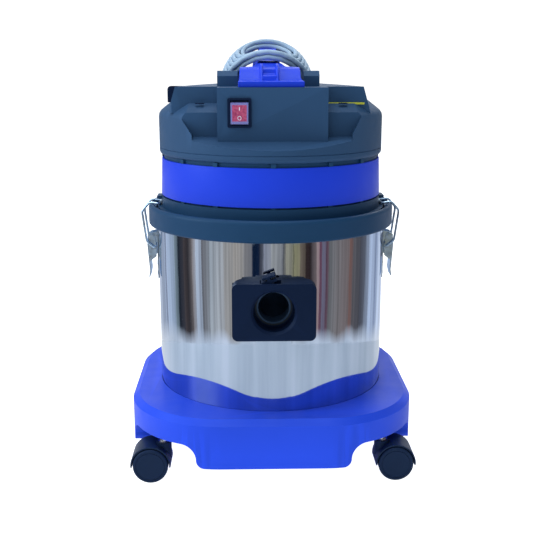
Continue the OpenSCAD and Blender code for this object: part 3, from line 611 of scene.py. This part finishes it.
HANDLE_X = -3.0
GRIP_H = 46.0
SIDE = [(-106, 0), (-106, 7), (-86, 7.5), (-83, 10.5), (-73, 19.5), (-62, 22.8),
        (-50, 24.5), (-40, 27), (8, 30.5), (40, GRIP_H), (102, GRIP_H), (114, 40),
        (120, 24), (120, 0), (104, 0), (101, 20), (94, GRIP_H - 14), (46, GRIP_H - 14),
        (8, 18), (-14, 12), (-30, 0)]
PLAN = [(-38, -106), (41, -106), (41, -87), (38, -83), (37, -60), (21, -55), (16, -38),
        (13, -8), (11.5, 40), (11.5, 102), (20, 120), (-20, 120), (-11.5, 102), (-11.5, 40),
        (-13, -8), (-16, -38), (-21, -55), (-36, -60), (-37, -83), (-38, -87)]
handle = block_mesh("handle_body", [(y, z + BLOCK_Z) for y, z in SIDE], -60, 60, 0, 0)
handle_plan = block_mesh("handle_plan", [(x + HANDLE_X, y) for x, y in PLAN], BLOCK_Z - 1,
                         BLOCK_Z + GRIP_H + 4, 2, 0)
combine(handle, handle_plan, "INTERSECT")
for x in (-27, 31):
    drill(handle, (HANDLE_X + x, -94, BLOCK_Z + 4.5 + 15), (0, 0, 0), 4.4, 30, 32)
round_edges(handle, 1.5)
finished(handle, "head", MATERIALS["blue_plastic"], ("handle",))
RIB = [(-94, 6), (-89, 11), (-82, 19.5), (-74, 25.5), (-65, 27.5), (-57, 26.5), (-54, 20), (-60, 8)]
for name, x in (("left", -9.9), ("right", 9.2)):
    rib = block_mesh("handle_rib_" + name, [(y, z + BLOCK_Z) for y, z in RIB],
                     HANDLE_X + x - 2.1, HANDLE_X + x + 2.1, 0, 1.7)
    finished(rib, "head", MATERIALS["blue_plastic"])
step = block_mesh("handle_step", [(y, z + BLOCK_Z) for y, z in (
    (-91, 6), (-88.5, 13), (-79, 15.5), (-77, 21), (-66, 23), (-66, 8))],
    HANDLE_X - 9, HANDLE_X + 8.5, 0, 1.0)
finished(step, "head", MATERIALS["blue_plastic"])

# ---------- small marks, and dark capsules of painted shade for the slots ---

SWITCH_X, SWITCH_Z = -39.5, BLOCK_Z - 29.5
mark = block_mesh("mark_on", [(SWITCH_X - 0.45, SWITCH_Z + 3), (SWITCH_X + 0.45, SWITCH_Z + 3),
                              (SWITCH_X + 0.45, SWITCH_Z + 7.5),
                              (SWITCH_X - 0.45, SWITCH_Z + 7.5)], -116.75, -115.6, 1, 0.1)
finished(mark, "rocker", MARK)
ring = [Vector((SWITCH_X + 2.0 * math.cos(a), -115.35, SWITCH_Z - 6 + 2.2 * math.sin(a))) * MM
        for a in (2 * math.pi * k / 32 for k in range(33))]
ring_mark = tube_mesh("mark_off", ring, [0.35 * MM] * 33, 8)
finished(ring_mark, "rocker", MARK)


def capsule(name, centre, half_length, half_width, low, high):
    outline = []
    for k in range(24):
        a = 2 * math.pi * k / 24
        shift = (half_length - half_width) * (1 if math.cos(a) >= 0 else -1)
        outline.append((centre[0] + shift + half_width * math.cos(a),
                        centre[1] + half_width * math.sin(a)))
    return block_mesh(name, outline, low, high, 2, 0.15)


# the ledge slots are not cut: flat black capsules stand in for them, painted shade of the slots'
# depth
for name, x in (("left", -88), ("right", 86)):
    slot_shade_piece = capsule("ledge_slot_shade_" + name, (x, -84), 5.5, 1.7, 461.6, 462.75)
    finished(slot_shade_piece, "head", MATERIALS["black_plastic"])
strip = block_mesh("label_strip", [(67, 460.6), (113, 460.6), (113, 463.0), (67, 463.0)],
                   -78.6, -77.6, 1, 0.2)
finished(strip, "head", STRIP)

# ---------- tank and band ----------

TANK_R = 150.0
tank = revolved("tank_shell", fillet(
    [(0.01, 70), (TANK_R, 70), (TANK_R, 316.5), (TANK_R - 1, 316.5), (TANK_R - 1, 71),
     (0.01, 71)], [0, 0.4, 0.3, 0.3, 0.4, 0], 2), 256)
drill(tank, (0, -TANK_R, 225), (math.radians(90), 0, 0), 20.7, 20)
finished(tank, "chassis", MATERIALS["tank_steel"], ("tank",))

HEAD_R = 143.5
BAND_Z, BAND_TOP = 343.0, 390.0
band = revolved("band_shell", fillet(
    [(HEAD_R - 3.8, BAND_Z), (HEAD_R + 0.3, BAND_Z), (HEAD_R - 1.2, BAND_TOP),
     (HEAD_R - 3.8, BAND_TOP)], [0, 0.8, 0.8, 0], 3), 256)
finished(band, "head", MATERIALS["blue_plastic"], ("blue_band",))

# ---------- stage and light ----------

floor_mesh = bpy.data.meshes.new("floor")
bm = bmesh.new()
bmesh.ops.create_circle(bm, cap_ends=True, segments=96, radius=6)
bm.to_mesh(floor_mesh)
bm.free()
floor = add_object("floor", floor_mesh)
floor_look, floor_tree, floor_shader = start_material("floor_look")
floor_tree.links.new(mixed(floor_tree, mapped(floor_tree, noise(floor_tree, 3, 2), 0, 1),
                           (0.6, 0.61, 0.62, 1), (0.64, 0.64, 0.65, 1)),
                     floor_shader.inputs["Base Color"])
floor_shader.inputs["Roughness"].default_value = 0.9
floor_shader.inputs["Emission Color"].default_value = (0.96, 0.98, 1, 1)
# the floor is plain white to the camera and greyer in the tank's reflection
GLOW = 0.66
GLOW_IN_CAMERA = 0.5
GLOW_IN_MIRROR = -0.52
floor_rays = floor_tree.nodes.new("ShaderNodeLightPath")
floor_glow = maths(floor_tree, "MULTIPLY_ADD", floor_rays.outputs["Is Camera Ray"],
                   GLOW_IN_CAMERA, GLOW)
floor_glow = maths(floor_tree, "MULTIPLY_ADD", floor_rays.outputs["Is Glossy Ray"],
                   GLOW_IN_MIRROR, floor_glow)
floor_tree.links.new(floor_glow, floor_shader.inputs["Emission Strength"])
floor_mesh.materials.append(floor_look)

# The room that the polished tank mirrors: a low round screen with upright bands of colour
ROOM_R = 0.55
ROOM_H = 0.34
ROOM_Y = -0.08


def screen_place(share):
    """Place round the screen that is mirrored at a share of the tank's width, 0 left, 1 right."""
    lean = math.asin(max(-1.0, min(1.0, 2 * share - 1)))
    start = Vector((math.sin(lean), -math.cos(lean))) * TANK_R * MM - Vector((0, ROOM_Y))
    way = Vector((math.sin(2 * lean), -math.cos(2 * lean)))
    along = start.dot(way)
    hit = start + way * (math.sqrt(along ** 2 - start.length_squared + ROOM_R ** 2) - along)
    return 0.5 + math.atan2(hit.x, -hit.y) / (2 * math.pi)


PALE = (226, 234, 250)
# each band's left edge as a share of the tank's width, and its colour
BANDS = [
    (0.0, PALE), (0.04, (120, 124, 136)), (0.046, PALE), (0.085, (176, 186, 186)),
    (0.1, (44, 54, 66)), (0.125, (98, 84, 80)), (0.145, (40, 38, 46)), (0.165, (178, 160, 148)),
    (0.18, (232, 236, 242)), (0.205, (132, 124, 122)), (0.235, (222, 218, 212)),
    (0.3, (190, 180, 168)), (0.34, (216, 198, 178)), (0.385, (178, 166, 156)),
    (0.42, (16, 38, 66)), (0.45, (26, 30, 46)), (0.465, (176, 172, 178)),
    (0.5, (206, 198, 186)), (0.548, (58, 62, 84)), (0.556, (206, 192, 160)),
    (0.585, (40, 38, 48)), (0.592, (200, 186, 136)), (0.615, (150, 128, 106)),
    (0.64, (70, 52, 48)), (0.665, (36, 30, 36)), (0.69, (222, 190, 178)), (0.7, (128, 48, 66)),
    (0.712, (150, 146, 158)), (0.728, (120, 54, 78)), (0.74, (152, 146, 140)),
    (0.832, (160, 112, 96)), (0.845, (118, 110, 108))]
RIGHT_BANDS = [(0.0, (118, 110, 108)), (0.88, (92, 88, 92)), (0.905, (150, 152, 160)),
               (0.925, PALE), (0.955, (150, 160, 184)), (0.965, PALE)]
room_mesh = bpy.data.meshes.new("room")
bm = bmesh.new()
bmesh.ops.create_cone(bm, cap_ends=False, segments=128, radius1=ROOM_R, radius2=ROOM_R,
                      depth=ROOM_H)
bm.to_mesh(room_mesh)
bm.free()
room = add_object("room", room_mesh)
room.location = (0, ROOM_Y, ROOM_H / 2)
room_look, tree, shader = start_material("room_look", "ShaderNodeEmission")
place = tree.nodes.new("ShaderNodeTexCoord")
split = tree.nodes.new("ShaderNodeSeparateXYZ")
tree.links.new(place.outputs["Object"], split.inputs[0])
backward = maths(tree, "MULTIPLY", split.outputs["Y"], -1)
around = maths(tree, "ARCTAN2", split.outputs["X"], backward)
share = mapped(tree, around, 0, 1, -math.pi, math.pi)
WAVER = 0.006
BLEND = 0.45


def band_ramp(bands):
    """The bands, half stepped and half blended, with a little sideways waver."""
    waver = maths(tree, "MULTIPLY_ADD", noise(tree, 5, 3, (1, 1, 2)), WAVER, share)
    ramps = []
    for edge in ("CONSTANT", "LINEAR"):
        node = tree.nodes.new("ShaderNodeValToRGB")
        node.color_ramp.interpolation = edge
        tree.links.new(waver, node.inputs["Fac"])
        stops = node.color_ramp.elements
        while len(stops) < len(bands):
            stops.new(0.5)
        for stop, (where, tone) in zip(stops, bands):
            stop.position = screen_place(where)
            stop.color = srgb(*tone)
        ramps.append(node.outputs["Color"])
    return mixed(tree, BLEND, *ramps)


RIGHT_FROM = 0.86
right_side = maths(tree, "GREATER_THAN", share, screen_place(RIGHT_FROM))
bands = mixed(tree, right_side, band_ramp(BANDS), band_ramp(RIGHT_BANDS))
# fine upright streaks of light and dark lie over the bands
streaks = mapped(tree, noise(tree, 46, 3, (1, 1, 0.03)), 0.72, 1.22)
streaked = tree.nodes.new("ShaderNodeVectorMath")
streaked.operation = "SCALE"
tree.links.new(bands, streaked.inputs[0])
tree.links.new(streaks, streaked.inputs["Scale"])
# below a wavy line the bands give way to the pale floor
FADE_WAVE = -0.09
FADE_HEIGHT = 0.045
wave = noise(tree, 6, 3, (1, 1, 0.3))
lift = maths(tree, "MULTIPLY_ADD", wave, FADE_WAVE, split.outputs["Z"])
fade = mapped(tree, lift, 0, 1, -ROOM_H / 2 - FADE_HEIGHT, -ROOM_H / 2)
tree.links.new(mixed(tree, fade, (0.93, 0.94, 0.97, 1), streaked.outputs[0]),
               shader.inputs["Color"])
shader.inputs["Strength"].default_value = 1.0
room_mesh.materials.append(room_look)
room.visible_camera = False
room.visible_diffuse = False
room.visible_shadow = False
room.visible_transmission = False

world = bpy.data.worlds.new("world")
scene.world = world
world.use_nodes = True
tree = world.node_tree
tree.nodes.clear()
output = tree.nodes.new("ShaderNodeOutputWorld")
seen = tree.nodes.new("ShaderNodeBackground")
seen.inputs["Strength"].default_value = 1.15
ambient = tree.nodes.new("ShaderNodeBackground")
ambient.inputs["Color"].default_value = (0.82, 0.93, 1, 1)
ambient.inputs["Strength"].default_value = 0.38
seen.inputs["Color"].default_value = (1, 1, 1, 1)
kind = tree.nodes.new("ShaderNodeLightPath")
blend = tree.nodes.new("ShaderNodeMixShader")
tree.links.new(kind.outputs["Is Camera Ray"], blend.inputs["Fac"])
tree.links.new(ambient.outputs[0], blend.inputs[1])
tree.links.new(seen.outputs[0], blend.inputs[2])
tree.links.new(blend.outputs[0], output.inputs["Surface"])


def area_light(name, place, target, size, power, colour=(1, 1, 1)):
    data = bpy.data.lights.new(name, "AREA")
    data.shape = "RECTANGLE"
    data.size, data.size_y = size
    data.energy = power
    data.color = colour
    obj = add_object(name, data)
    obj.location = place
    obj.rotation_euler = (Vector(target) - Vector(place)).to_track_quat("-Z", "Y").to_euler()
    return obj


area_light("top", (-0.2, -0.1, 2.3), (0, 0, 0.3), (1.6, 1.4), 27)
area_light("left", (-2.0, -0.5, 1.3), (0, 0, 0.3), (1.2, 1.6), 31, (0.94, 0.97, 1))
area_light("front", (-0.5, -2.4, 1.4), (0, 0, 0.3), (1.4, 1.0), 5)
area_light("rear", (0.5, 1.9, 1.7), (0, 0, 0.3), (2.2, 1.2), 14)
